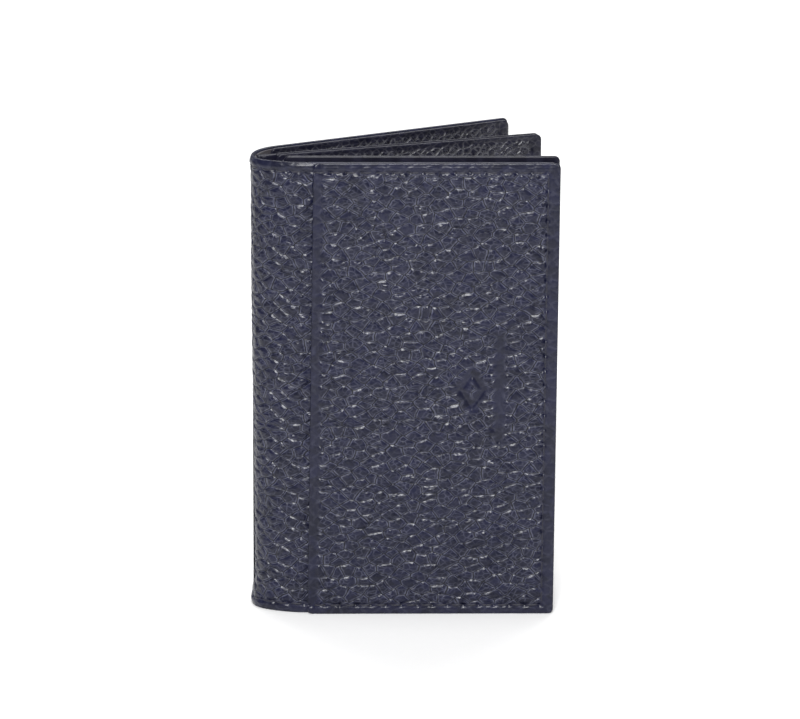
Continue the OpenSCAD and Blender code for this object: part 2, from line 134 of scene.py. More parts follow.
# ------------------------------------------------ lines in plan that the panels follow
def holder_line(s):
    """Plan point and inward direction on the covers' outer face, at a distance s round it.

    s is 0 at the middle of the spine, negative towards the front cover and positive towards the back one.
    """
    s = np.asarray(s, float)
    u = np.abs(s)
    front = s < 0
    tight = u < TIGHT_LEN
    front_turn = np.where(tight, u / TIGHT_R, TIGHT_TURN + (u - TIGHT_LEN) / GENTLE_R)
    turn = np.where(front, front_turn, u / BACK_R)
    turn = np.minimum(turn, np.where(front, math.pi / 2, BACK_TURN))
    cosine, sine = np.cos(turn), np.sin(turn)
    radius = np.where(front, np.where(tight, TIGHT_R, GENTLE_R), BACK_R)
    centre_x = np.where(front, np.where(tight, TIGHT_R, FLAT_X), BACK_R)
    centre_y = np.where(front & ~tight, FRONT_FACE + GENTLE_R, SPINE_Y)
    side = np.where(front, -1, 1)
    beyond = np.maximum(u - np.where(front, FRONT_ARC, BACK_ARC), 0)
    x = centre_x - radius * cosine + beyond * np.where(front, 1, math.cos(OPEN_ANGLE))
    y = centre_y + side * radius * sine + beyond * np.where(front, 0, math.sin(OPEN_ANGLE))
    return np.stack([x, y], -1), np.stack([cosine, -side * sine], -1)


def straight_line(start, angle, inward):
    """A line in plan from start at an angle; inward is 1 where its depth is measured to the left, else -1."""
    along = np.array([math.cos(angle), math.sin(angle)])
    normal = inward * np.array([-along[1], along[0]])

    def line(s):
        s = np.asarray(s, float)
        return np.array(start) + s[..., None] * along, np.broadcast_to(normal, s.shape + (2,))
    return line


front_line = straight_line((0, 0), 0, 1)
back_line = straight_line(BACK_START, OPEN_ANGLE, -1)
leaf_rear_line = straight_line((LEAF_HINGE_X, SPINE_Y), LEAF_ANGLE, 1)
leaf_front_line = straight_line((LEAF_HINGE_X, SPINE_Y), LEAF_ANGLE, -1)


def spaced(*stretches):
    """Grid places along one side: each stretch is (from, to, step)."""
    out = [np.linspace(a, b, max(2, round(abs(b - a) / step) + 1)) for a, b, step in stretches]
    return np.unique(np.round(np.concatenate(out), 5))


# ------------------------------------------------ leather grain and hems, as heights in millimetres
ROW = 0.60                        # spacing of the pebbles' rows, in pebble heights
JITTER = (0.22, 0.13)             # how far a pebble's middle strays, in pebble sizes
TABLE = 64                        # rows and columns of pebbles before their numbers repeat
WANDER = (0.45, 0.40)             # how far the rows and columns wander, in pebble sizes
HEM_CROWN = 0.12                  # how far a hem swells between its edge and its stitches
HEM_DROP = 0.05                   # how much lower all of it is pressed
ROW_PULL = 0.06                   # how far the thread draws the leather down along its row
HOLE_PULL = 0.42                  # and how much further at a hole
PLEAT_REACH = 3.2                 # size of the pleated square at a turned corner
PLEATS = 22                       # pleats to a full turn round the corner
PLEAT_H = 0.05


def smooth(x, low, high):
    t = np.clip((x - low) / (high - low), 0, 1)
    return t * t * (3 - 2 * t)


def bell(x, middle, width):
    """A smooth ridge of height 1."""
    return np.exp(-((x - middle) / width) ** 2)


def drift(u, v, wave, seed):
    """A slow random wander, mostly between -1 and 1: five waves of mixed lengths and directions."""
    rng = np.random.default_rng(seed)
    total = 0
    for _ in range(5):
        angle, phase = rng.uniform(0, 2 * math.pi, 2)
        length = wave * rng.uniform(0.7, 1.6)
        total = total + np.sin(2 * math.pi * (u * math.cos(angle) + v * math.sin(angle)) / length + phase)
    return total / 3


def cells(u, v, seed):
    """Distance to the edge of a pebble, 0 at a crease, and a random number for each pebble.

    The pebbles are uneven cells in a brick pattern, one unit wide.
    """
    rng = np.random.default_rng(seed)
    nudge = rng.uniform(-1, 1, (TABLE, TABLE, 2)) * JITTER
    tone = rng.uniform(0, 1, (TABLE, TABLE))
    row = np.floor(v / ROW)
    centres = []
    for up in range(-3, 4):
        near_row = row + up
        shift = 0.5 * (near_row % 2)
        column = np.floor(u - shift)
        for aside in (-1, 0, 1):
            near_column = column + aside
            entry = (near_row % TABLE).astype(int), (near_column % TABLE).astype(int)
            off = nudge[entry]
            centres.append((near_column + 0.5 + shift + off[..., 0], (near_row + 0.5) * ROW + off[..., 1],
                            tone[entry]))
    centre_u, centre_v, centre_tone = (np.stack(x) for x in zip(*centres))
    own = np.argmin((centre_u - u) ** 2 + (centre_v - v) ** 2, 0)[None]
    own_u, own_v = np.take_along_axis(centre_u, own, 0), np.take_along_axis(centre_v, own, 0)
    to_u, to_v = centre_u - own_u, centre_v - own_v
    length = np.hypot(to_u, to_v)
    away = ((own_u + centre_u) / 2 - u) * to_u + ((own_v + centre_v) / 2 - v) * to_v
    away = away / np.maximum(length, 1e-9)
    away[length < 1e-9] = 9
    return away.min(0), np.take_along_axis(centre_tone, own, 0)[0]


def dome(edge, width):
    return 1 - (1 - np.clip(edge / width, 0, 1)) ** 2.4


def pebbles(s, z, size, depth, seed):
    """Height of the leather's soft lumps under its fine grain, and a tone for each."""
    wave = 5 * size[0]
    bent_s = s + WANDER[0] * size[0] * drift(s, z, wave, seed + 1)
    bent_z = z + WANDER[1] * size[1] * drift(s, z, wave, seed + 2)
    edge, tone = cells(bent_s / size[0], bent_z / size[1], seed)
    strength = 1 + 0.35 * drift(s, z, 14, seed + 3)
    uneven = 0.5 * (tone - 0.5) * smooth(edge, 0, 0.25)
    return depth * (strength * (dome(edge, 0.45) - 1) + uneven), tone


def stitch_row(low, high):
    """Middles of a row of stitches between two ends, as the CAD spaces them."""
    count = math.floor((high - low - STITCH_LEN) / STITCH_PITCH)
    first = (low + high - count * STITCH_PITCH) / 2
    return first + STITCH_PITCH * np.arange(count + 1)


def hem(d, along, first, inset=STITCH_INSET):
    """Height of a stitched hem at a distance d from its edge, and how much of the grain shows there.

    The leather is smooth beside the edge, and is drawn down along the stitches and most at their holes. The
    top and bottom hems on the covers' outside have a pressed line by the edge too.
    """
    hole = 0.5 - 0.5 * np.cos(2 * math.pi * (along - first) / STITCH_PITCH)
    from_row = d - inset
    crown = HEM_CROWN * (1 - (2 * d / inset - 1) ** 2) - HEM_DROP
    pull = bell(from_row, 0, 0.36)
    height = np.where(from_row < 0, crown, -HEM_DROP) - (ROW_PULL + HOLE_PULL * hole ** 6) * pull
    height = height + 0.10 * bell(from_row, -0.75, 0.3)
    if inset == EDGE_INSET:
        height = height - 0.13 * bell(d, 0.45, 0.15)
    grain = 0.16 + 0.84 * smooth(from_row, -0.1, 1.0)
    return height, grain


def plain_edge(d):
    """The same for a turned edge without stitches: a creased line near it, and grain almost to the top."""
    height = -0.10 * bell(d, 1.0, 0.22) + 0.05 * bell(d, 0.5, 0.3)
    return height, 0.2 + 0.8 * smooth(d, 0.9, 1.7)


def pleats(ds, dz, radius):
    """Fine radial pleats of leather round a turned corner; ds and dz are the distances from its sides."""
    a, b = np.maximum(PLEAT_REACH - ds, 0), np.maximum(PLEAT_REACH - dz, 0)
    turn = np.arctan2(b, np.maximum(a, 1e-6))
    near = smooth(np.hypot(a, b), PLEAT_REACH - radius * 0.7, PLEAT_REACH + 0.3) * (a > 0) * (b > 0)
    return PLEAT_H * np.cos(turn * PLEATS) * near * np.sin(2 * np.clip(turn, 0, math.pi / 2))


# ------------------------------------------------ panels
NOSE = (20, 42, 64, 82, 98, 116, 138, 160, 180)  # degrees round a rounded edge, from the face to the back
ALL_SIDES = ("left", "right", "bottom", "top")
PLAIN_GRAIN = 0.2                 # of a sheet without a height function
MID_TONE = 0.5


class Shape:
    """Points, faces and the leather's own coordinates, gathered for one mesh."""

    def __init__(self):
        self.points, self.faces, self.own, self.grain, self.tone, self.count = [], [], [], [], [], 0

    def add(self, points, faces, own, grain, tone):
        self.points.append(points)
        self.faces += [[i + self.count for i in f] for f in faces]
        self.own.append(own)
        self.grain.append(grain)
        self.tone.append(tone)
        self.count += len(points)
        return self

    def make(self, name, material):
        mesh = bpy.data.meshes.new(name)
        points = np.concatenate(self.points)
        points = (points - np.array([ORIGIN[0], ORIGIN[1], 0])) * MM
        mesh.from_pydata(points.tolist(), [], self.faces)
        mesh.polygons.foreach_set("use_smooth", [True] * len(mesh.polygons))
        own = mesh.attributes.new("own_place", "FLOAT_VECTOR", "POINT")
        own.data.foreach_set("vector", (np.concatenate(self.own) * MM).astype(np.float32).ravel())
        for attribute, values in (("grain", self.grain), ("tone", self.tone)):
            layer = mesh.attributes.new(attribute, "FLOAT", "POINT")
            layer.data.foreach_set("value", np.concatenate(values).astype(np.float32))
        mesh.materials.append(material)
        mesh.update()
        obj = bpy.data.objects.new(name, mesh)
        bpy.context.scene.collection.objects.link(obj)
        return obj


def place(line, s, z, depth):
    xy, inward = line(s)
    return np.concatenate([xy + inward * depth[..., None], z[..., None]], -1)


def trimmed(marks, nose, low_free, high_free):
    """Grid places across a sheet's face, without what its rounded edges take up."""
    low = marks[0] + (nose if low_free else 0)
    high = marks[-1] - (nose if high_free else 0)
    inner = marks[(marks > low + 0.04) & (marks < high - 0.04)]
    return np.concatenate([[low], inner, [high]])


def sheet_grid(sm, zm, radius, free):
    """Grid over a sheet's face, round at its free corners, and the outward direction at its rim."""
    s, z = (g.copy() for g in np.meshgrid(sm, zm, indexing="ij"))
    out_s, out_z = np.zeros_like(s), np.zeros_like(z)
    if "left" in free:
        out_s[0] = -1
    if "right" in free:
        out_s[-1] = 1
    if "bottom" in free:
        out_z[:, 0] = -1
    if "top" in free:
        out_z[:, -1] = 1
    for toward_s, side in ((-1, "left"), (1, "right")):
        for toward_z, end in ((-1, "bottom"), (1, "top")):
            if side not in free or end not in free:
                continue
            centre_s = (sm[-1] if toward_s > 0 else sm[0]) - toward_s * radius
            centre_z = (zm[-1] if toward_z > 0 else zm[0]) - toward_z * radius
            p, q = (s - centre_s) * toward_s, (z - centre_z) * toward_z
            inside = (p >= 0) & (q >= 0)
            reach = np.maximum(np.maximum(p, q), 1e-9)
            turn = np.where(p >= q, math.pi / 4 * q / reach, math.pi / 2 - math.pi / 4 * p / reach)
            s[inside] = (centre_s + toward_s * reach * np.cos(turn))[inside]
            z[inside] = (centre_z + toward_z * reach * np.sin(turn))[inside]
            out_s[inside] = (toward_s * np.cos(turn))[inside]
            out_z[inside] = (toward_z * np.sin(turn))[inside]
    return s, z, out_s, out_z


def sheet_faces(index, rings):
    """Faces of a sheet: its grid, the rings round its edge, and its back across the last ring."""
    ns, nz = index.shape
    quads = [np.stack([index[:-1, :-1], index[1:, :-1], index[1:, 1:], index[:-1, 1:]], -1).reshape(-1, 4)]
    for inner, outer in zip(rings, rings[1:]):
        quads.append(np.stack([np.roll(inner, -1), inner, outer, np.roll(outer, -1)], -1))
    last = rings[-1]
    bottom = last[:ns]
    top = last[ns + nz - 2:ns + nz - 2 + ns][::-1]
    quads.append(np.stack([bottom[2:-1], bottom[1:-2], top[1:-2], top[2:-1]], -1))
    right = last[ns:ns + nz - 2]
    left = last[ns + nz - 2 + ns:][::-1]
    ends = [[bottom[1], bottom[0], *left, top[0], top[1]],
            [bottom[-1], bottom[-2], top[-2], top[-1], *right[::-1]]]
    return np.concatenate(quads).tolist() + [[int(i) for i in f] for f in ends]


def runs_backwards(line, s, facing):
    """Whether faces that are wound along a line at s look away from the sheet's seen side."""
    xy, inward = line(np.array([s, s + 0.01]))
    ahead = xy[1] - xy[0]
    return facing * (ahead[1] * inward[0, 0] - ahead[0] * inward[0, 1]) < 0


def panel(shape, line, s_marks, z_marks, face, thick, facing, nose, corner, free, height=None, shift=0.0):
    """Adds a closed sheet that follows a line.

    Its seen face is at depth face, a number or a function of s, and looks inwards (facing 1) or outwards
    (-1). The sides named in free have a rounded edge, and the corners between them are round. height(s, z)
    gives the face's relief, the strength of its grain and the pebbles' tones.
    """
    depth_of = face if callable(face) else lambda s: np.full(np.shape(s), float(face))
    sm = trimmed(s_marks, nose, "left" in free, "right" in free)
    zm = trimmed(z_marks, nose, "bottom" in free, "top" in free)
    s, z, out_s, out_z = sheet_grid(sm, zm, max(corner - nose, 0.05), free)
    if height:
        relief, grain, tone = height(s, z)
    else:
        relief, grain, tone = np.zeros_like(s), np.full_like(s, PLAIN_GRAIN), np.full_like(s, MID_TONE)
    points = [place(line, s, z, depth_of(s) + facing * relief).reshape(-1, 3)]
    own = [np.stack([s + shift, z, 0 * s], -1).reshape(-1, 3)]
    grains, tones = [grain.ravel()], [tone.ravel()]

    index = np.arange(s.size).reshape(s.shape)
    loop = np.concatenate([index[:, 0], index[-1, 1:], index[-2::-1, -1], index[0, -2:0:-1]])
    rim_s, rim_z, rim_relief = (values.ravel()[loop] for values in (s, z, relief))
    rim_out_s, rim_out_z = out_s.ravel()[loop], out_z.ravel()[loop]
    rings = [loop]
    for count, degrees in enumerate(NOSE):
        turn = math.radians(degrees)
        ring_s = rim_s + rim_out_s * nose * math.sin(turn)
        ring_z = rim_z + rim_out_z * nose * math.sin(turn)
        drop = nose * (1 - math.cos(turn)) + (thick - 2 * nose if degrees > 90 else 0)
        fade = max(math.cos(turn), 0)
        points.append(place(line, ring_s, ring_z, depth_of(ring_s) + facing * (rim_relief * fade - drop)))
        own.append(np.stack([ring_s + shift, ring_z, np.full_like(ring_s, -drop)], -1))
        grains.append(grain.ravel()[loop] * fade)
        tones.append(tone.ravel()[loop])
        rings.append(index.size + count * len(loop) + np.arange(len(loop)))
    faces = sheet_faces(index, rings)
    if runs_backwards(line, sm[len(sm) // 2], facing):
        faces = [f[::-1] for f in faces]
    return shape.add(np.concatenate(points), faces, np.concatenate(own), np.concatenate(grains),
                     np.concatenate(tones))


def tube_faces(index):
    """Faces of a closed tube; each row of index is a ring of its points."""
    beside = np.roll(index, -1, 1)
    faces = np.stack([index[:-1], beside[:-1], beside[1:], index[1:]], -1).reshape(-1, 4).tolist()
    return faces + [index[0, ::-1].tolist(), index[-1].tolist()]


def thread(shape, line, s, z, along, face, facing):
    """Adds one stitch of two-ply thread on a face: its ends go down into the leather."""
    t = np.linspace(0, 1, THREAD_STEPS)[:, None]
    turn = np.linspace(0, 2 * math.pi, THREAD_SIDES, endpoint=False)[None]
    reach = (t - 0.5) * (STITCH_LEN + THREAD_EXTRA)
    arch = np.sqrt(np.clip(1 - (2 * t - 1) ** 4, 0, 1))
    lift = THREAD_DIVE * (arch - 1) - THREAD_SUNK
    ply = 1 + 0.16 * np.cos(2 * turn - 9 * t)
    taper = 0.55 + 0.45 * np.sqrt(np.sin(math.pi * (0.04 + 0.92 * t)))
    radius = THREAD_R * ply * taper
    across, up = radius * np.cos(turn), lift + radius * np.sin(turn)
    ps = s + (reach + 0 * turn if along == "s" else across)
    pz = z + (across if along == "s" else reach + 0 * turn)
    points = place(line, ps, pz, face + facing * up).reshape(-1, 3)
    index = np.arange(THREAD_STEPS * THREAD_SIDES).reshape(THREAD_STEPS, THREAD_SIDES)
    faces = tube_faces(index)
    first, second, third = points[index[0, 0]], points[index[0, 1]], points[index[1, 0]]
    middle = points[index[0]].mean(0)
    if np.dot(np.cross(second - first, third - first), first - middle) < 0:
        faces = [f[::-1] for f in faces]
    own = np.stack([ps, pz, up], -1).reshape(-1, 3)
    shape.add(points, faces, own, np.zeros(len(points)), np.full(len(points), MID_TONE))


# ------------------------------------------------ materials
def principled(name):
    material = bpy.data.materials.new(name)
    material.use_nodes = True
    tree = material.node_tree
    shader = tree.nodes["Principled BSDF"]
    return material, tree, shader


def node(tree, kind, **settings):
    made = tree.nodes.new(kind)
    for key, value in settings.items():
        if key in made.inputs:
            made.inputs[key].default_value = value
        else:
            setattr(made, key, value)
    return made


def coordinates(tree, from_mesh):
    """Where the pattern lies: the leather's own flat coordinates, or the object's on a CAD solid."""
    if from_mesh:
        return node(tree, "ShaderNodeAttribute", attribute_name="own_place").outputs["Vector"]
    return node(tree, "ShaderNodeTexCoord").outputs["Object"]


def mixed(tree, factor, a, b):
    mix = node(tree, "ShaderNodeMix", data_type="RGBA")
    for socket, value in (("A", a), ("B", b)):
        target = next(i for i in mix.inputs if i.name == socket and i.type == "RGBA")
        if isinstance(value, bpy.types.NodeSocket):
            tree.links.new(value, target)
        else:
            target.default_value = (*value, 1)
    tree.links.new(factor, mix.inputs["Factor"])
    return next(o for o in mix.outputs if o.type == "RGBA")


def noise(tree, place_of, scale, detail=3.0, rough=0.55):
    made = node(tree, "ShaderNodeTexNoise", Scale=scale, Detail=detail, Roughness=rough)
    tree.links.new(place_of, made.inputs["Vector"])
    return made.outputs["Fac"]


def ranged(tree, value, low, high, to_low, to_high):
    made = node(tree, "ShaderNodeMapRange")
    for socket, number in (("From Min", low), ("From Max", high), ("To Min", to_low), ("To Max", to_high)):
        made.inputs[socket].default_value = number
    tree.links.new(value, made.inputs["Value"])
    return made.outputs["Result"]


def maths(tree, operation, a, b):
    made = node(tree, "ShaderNodeMath", operation=operation)
    for socket, value in zip(made.inputs, (a, b)):
        if isinstance(value, bpy.types.NodeSocket):
            tree.links.new(value, socket)
        else:
            socket.default_value = value
    return made.outputs["Value"]


def bumped(tree, shader, height, distance, strength=1.0):
    bump = node(tree, "ShaderNodeBump", Distance=distance, Strength=strength)
    tree.links.new(height, bump.inputs["Height"])
    tree.links.new(bump.outputs["Normal"], shader.inputs["Normal"])


def lozenges(tree, place_of, size, uneven):
    """Distance from the nearest crease in a net of lozenges of one size in millimetres, in lozenge sizes."""
    fitted = node(tree, "ShaderNodeVectorMath", operation="MULTIPLY")
    fitted.inputs[1].default_value = (1 / (size[0] * MM), 1 / (size[1] * MM), 1)
    tree.links.new(place_of, fitted.inputs[0])
    turned = node(tree, "ShaderNodeVectorRotate", rotation_type="Z_AXIS")
    turned.inputs["Angle"].default_value = math.radians(45)
    tree.links.new(fitted.outputs["Vector"], turned.inputs["Vector"])
    net = node(tree, "ShaderNodeTexVoronoi", voronoi_dimensions="2D", feature="DISTANCE_TO_EDGE", Scale=1,
               Randomness=uneven)
    tree.links.new(turned.outputs["Vector"], net.inputs["Vector"])
    return net.outputs["Distance"]


def wandering(tree, here):
    """The coordinates, moved about a little so that the creases aren't straight."""
    wander = node(tree, "ShaderNodeTexNoise", Scale=240, Detail=2.0)
    tree.links.new(here, wander.inputs["Vector"])
    centred = node(tree, "ShaderNodeVectorMath", operation="SUBTRACT")
    centred.inputs[1].default_value = (0.5, 0.5, 0.5)
    tree.links.new(wander.outputs["Color"], centred.inputs[0])
    shrunk = node(tree, "ShaderNodeVectorMath", operation="SCALE")
    shrunk.inputs["Scale"].default_value = 1.6 * MM
    tree.links.new(centred.outputs["Vector"], shrunk.inputs[0])
    warped = node(tree, "ShaderNodeVectorMath", operation="ADD")
    tree.links.new(here, warped.inputs[0])
    tree.links.new(shrunk.outputs["Vector"], warped.inputs[1])
    return warped.outputs["Vector"]


FINE_SHARE = 0.42                 # size of the fine lozenges, as a share of the big ones'
GRIT_H = 0.02                     # height of the finest grain, as a share of the relief
CREASE_SHADE = 0.35                     # painted shade in the creases, as a share of the deep colour


def leather(name, deep, light, rim_highlight, rough, size=(3.3, 2.2), relief=0.44, from_mesh=True, gloss=0.3):
    """Pigmented pebbled leather: soft lozenges, and finer ones on them; painted shade darkens the creases and
    painted highlights lighten the rims.
    """
    material, tree, shader = principled(name)
    here = coordinates(tree, from_mesh)
    grain = node(tree, "ShaderNodeAttribute", attribute_name="grain").outputs["Fac"]
    tone = node(tree, "ShaderNodeAttribute", attribute_name="tone").outputs["Fac"]
    place_of = wandering(tree, here)
    big = lozenges(tree, place_of, size, 0.7)
    small = lozenges(tree, place_of, (size[0] * FINE_SHARE, size[1] * FINE_SHARE), 0.9)
    # patches is where the fine lozenges show, and gaps is where the painted highlights on the rims break off
    patches = ranged(tree, noise(tree, here, 330, 2), 0.38, 0.62, 0.1, 1.0)
    gaps = ranged(tree, noise(tree, here, 900, 1), 0.34, 0.60, 0.15, 1.0)
    grit = noise(tree, here, 3400, 2)
    # painted shade: the base colour is darkened in the creases, where shadow would fall
    crease_shade = maths(tree, "MULTIPLY", ranged(tree, big, 0.015, 0.07, 1, 0), grain)
    # painted highlights: the rims of the lozenges are lightened in the base colour, as light catching them
    # would be
    rim = maths(tree, "MULTIPLY", ranged(tree, big, 0.05, 0.15, 1, 0), gaps)
    fine_rim_highlight = maths(tree, "MULTIPLY", ranged(tree, small, 0.03, 0.16, 0.35, 0), patches)
    painted_highlight = maths(tree, "MULTIPLY", maths(tree, "MAXIMUM", rim, fine_rim_highlight), grain)
    dome = maths(tree, "ADD", ranged(tree, big, 0, 0.2, 0, 0.45), ranged(tree, big, 0, 0.45, 0, 0.6))
    fine = maths(tree, "MULTIPLY", ranged(tree, small, 0, 0.35, 0, 0.13), patches)
    height = maths(tree, "MULTIPLY", maths(tree, "ADD", dome, fine), grain)
    height = maths(tree, "ADD", height, maths(tree, "MULTIPLY", grit, GRIT_H))
    bumped(tree, shader, height, relief * MM)

    cloud = noise(tree, here, 160, 3)
    spread = maths(tree, "ADD", maths(tree, "MULTIPLY", cloud, 0.6), maths(tree, "MULTIPLY", tone, 0.4))
    base = mixed(tree, ranged(tree, spread, 0.3, 0.7, 0, 1), deep, light)
    # the base colour gets painted highlights on the rims and painted shade in the creases
    crease_shade_colour = tuple(CREASE_SHADE * part for part in deep)
    tree.links.new(mixed(tree, crease_shade, mixed(tree, painted_highlight, base, rim_highlight), crease_shade_colour), shader.inputs["Base Color"])
    tree.links.new(ranged(tree, grit, 0, 1, rough - 0.06, rough + 0.10), shader.inputs["Roughness"])
    shader.inputs["Specular IOR Level"].default_value = gloss
    return material


WEAVE_UNIT = 6.28                 # makes a fineness of 1 one thread to about 2 mm


def woven(name, deep, light, fineness, rough, from_mesh=True):
    """Fine plain-woven cloth."""
    material, tree, shader = principled(name)
    here = coordinates(tree, from_mesh)
    waves = []
    for direction in ("X", "Y" if from_mesh else "Z"):
        wave = node(tree, "ShaderNodeTexWave", wave_type="BANDS", bands_direction=direction,
                    Scale=fineness * 1000 / WEAVE_UNIT, Distortion=0.6, Detail=1.0)
        tree.links.new(here, wave.inputs["Vector"])
        waves.append(wave.outputs["Fac"])
    weave = maths(tree, "MULTIPLY", waves[0], waves[1])
    cloud = noise(tree, here, 300, 3)
    spread = maths(tree, "ADD", maths(tree, "MULTIPLY", weave, 0.6), maths(tree, "MULTIPLY", cloud, 0.4))
    base = mixed(tree, spread, deep, light)
    tree.links.new(base, shader.inputs["Base Color"])
    tree.links.new(ranged(tree, cloud, 0, 1, rough - 0.08, rough + 0.08), shader.inputs["Roughness"])
    shader.inputs["Specular IOR Level"].default_value = 0.3
    shader.inputs["Sheen Weight"].default_value = 0.15
    bumped(tree, shader, weave, 0.05 * MM, 0.7)
    return material


def board(name):
    """Grey-brown leatherboard with fibres."""
    material, tree, shader = principled(name)
    here = coordinates(tree, False)
    fibres = noise(tree, here, 1800, 5, 0.7)
    base = mixed(tree, fibres, (0.10, 0.085, 0.07), (0.26, 0.22, 0.18))
    tree.links.new(base, shader.inputs["Base Color"])
    tree.links.new(ranged(tree, fibres, 0, 1, 0.75, 0.95), shader.inputs["Roughness"])
    bumped(tree, shader, fibres, 0.08 * MM)
    return material


def yarn(name):
    """Waxed polyester thread."""
    material, tree, shader = principled(name)
    here = coordinates(tree, True)
    fibres = noise(tree, here, 5200, 3)
    base = mixed(tree, fibres, (0.004, 0.004, 0.012), (0.010, 0.010, 0.026))
    tree.links.new(base, shader.inputs["Base Color"])
    tree.links.new(ranged(tree, fibres, 0, 1, 0.42, 0.62), shader.inputs["Roughness"])
    shader.inputs["Sheen Weight"].default_value = 0.2
    bumped(tree, shader, fibres, 0.03 * MM)
    return material


# the fourth colour of each leather is the painted highlight on its rims
outer_leather = leather("outer_leather", (0.0025, 0.0032, 0.015), (0.007, 0.008, 0.030), (0.11, 0.115, 0.17),
                        0.30, gloss=0.36)
inner_leather = leather("inner_leather", (0.004, 0.004, 0.012), (0.012, 0.012, 0.026), (0.19, 0.19, 0.22),
                        0.30, size=(1.5, 1.2), relief=0.22)
tape_leather = leather("tape_leather", (0.012, 0.012, 0.022), (0.022, 0.021, 0.034), (0.1, 0.1, 0.12),
                       0.5, from_mesh=False)
lining_cloth = woven("lining_cloth", (0.045, 0.040, 0.048), (0.080, 0.072, 0.084), 3.2, 0.62)
pocket_cloth = woven("pocket_cloth", (0.012, 0.012, 0.022), (0.030, 0.030, 0.048), 3.0, 0.7, from_mesh=False)
stiff_board = board("stiff_board")
thread_yarn = yarn("thread_yarn")

# ------------------------------------------------ outer leather
STEP = 0.28                       # grid step where the grain shows
HIDDEN = 2.4                      # and where another piece covers it
cover_rows = stitch_row(EDGE_INSET, HEIGHT - EDGE_INSET)[0]
front_end = -(FRONT_ARC + WIDTH - FLAT_X)
back_end = BACK_ARC + BACK_REACH
z_marks = spaced((0, HEIGHT, STEP))


def edge_distance(z):
    return np.minimum(z, HEIGHT - z)


def hem_all_round(s, z, first_s, end_s=None):
    """Hems along the top and bottom, and at the free end if end_s is given; the nearest one counts."""
    d = edge_distance(z)
    height, grain = hem(d, s, first_s, EDGE_INSET)
    if end_s is not None:
        e = end_s - s
        side, side_grain = hem(e, z, cover_rows)
        height = np.where(e < d, side, height)
        grain = np.minimum(grain, side_grain)
    return height, grain


def spine_sag(s, z):
    """The spine is pressed in between its hems, and most towards the bottom."""
    between = smooth(edge_distance(z), 2.2, 7)
    return -(0.08 + 0.5 * smooth(HEIGHT - z, 20, 85)) * between * smooth(9 - np.abs(s), 0, 7)


def spine_height(s, z):
    height, grain = hem_all_round(s, z, 0)
    rough, tone = pebbles(s, z, (3.9, 2.9), 0.16, 11)
    under = smooth(-s, FRONT_ARC + 1.0, FRONT_ARC + 2.0)
    grain = grain * (1 - under)
    return height * (1 - under) + rough * grain + spine_sag(s, z), grain, tone


def back_height(s, z):
    height, grain = hem_all_round(s, z, 0, back_end)
    rough, tone = pebbles(s, z, (3.3, 2.6), 0.10, 11)
    return height + rough * grain + spine_sag(s, z), grain, tone


covered = -FRONT_ARC - 2.4        # the outer pocket covers the leather beyond this
front_half = panel(Shape(), holder_line, spaced((front_end, covered, HIDDEN), (covered, 0, STEP)), z_marks,
                   0, COVER_T, -1, COVER_NOSE, CORNER_R, ("left", "bottom", "top"), spine_height)
back_half = panel(Shape(), holder_line, spaced((0, back_end, 0.29)), z_marks,
                  0, COVER_T, -1, COVER_NOSE, CORNER_R, ("right", "bottom", "top"), back_height)


def with_front(obj):
    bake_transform(obj)
    return obj


def with_back(obj):
    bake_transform(obj)
    return obj


def finished(obj, slot, *nodes):
    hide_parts(*nodes)


finished(with_front(front_half.make("front_cover_and_spine_leather", outer_leather)),
         "cover_leather", "spine_cover", "front_cover_leather")
finished(with_back(back_half.make("back_cover_and_spine_leather", outer_leather)),
         "cover_leather", "back_cover_leather")

# ------------------------------------------------ outer pocket, with the plain pressed mark
overlay_first = stitch_row(OVERLAY_X, WIDTH - STITCH_INSET)[0]


def mark_distance(s, z):
    """Distance from the middle of the mark's lines."""
    x, y = s - MARK_PLACE[0], z - MARK_PLACE[1]
    a, b = MARK_SIZE[0] / 2 - MARK_LINE_W / 2, MARK_SIZE[1] / 2 - MARK_LINE_W / 2
    lozenge = np.abs((np.abs(x) / a + np.abs(y) / b - 1) * a * b / math.hypot(a, b))
    bar = np.hypot(x - MARK_BAR[0], np.maximum(np.abs(y) - MARK_BAR[1] / 2, 0))
    return np.minimum(lozenge, bar)


def overlay_height(s, z):
    height, grain = hem_all_round(s, z, overlay_first, WIDTH)
    rough, tone = pebbles(s, z, (3.3, 2.6), 0.10, 31)
    e = s - OVERLAY_X
    ridge = 0.10 * bell(e, 0.6, 0.5) - 0.16 * bell(e, 1.75, 0.28)
    grain = grain * (0.15 + 0.85 * smooth(e, 1.5, 2.9))
    from_mark = mark_distance(s, z)
    beside = smooth(from_mark, MARK_LINE_W / 2 - 0.15, MARK_LINE_W / 2 + 0.2)
    grain = grain * (0.1 + 0.9 * smooth(from_mark, 0.6, 2.0))
    return height + ridge + rough * grain - MARK_DEPTH * (1 - beside), grain, tone


outer_pocket = panel(Shape(), front_line, spaced((OVERLAY_X, WIDTH, 0.26)), spaced((0, HEIGHT, 0.27)),
                     0, OVERLAY_T, -1, OVERLAY_NOSE, CORNER_R, ALL_SIDES, overlay_height)
for points in outer_pocket.points:  # its open edge isn't quite upright
    share = np.clip((WIDTH - points[:, 0]) / (WIDTH - OVERLAY_X), 0, 1)
    points[:, 0] += OPEN_EDGE_LEAN * (2 * points[:, 2] / HEIGHT - 1) * share


def seam(shape, line, s_marks, z_marks, face, thick, facing):
    """A plain strip between two sheets, where they are sewn together."""
    panel(shape, line, s_marks, z_marks, face, thick, facing, thick * 0.3, 0.3, ALL_SIDES)


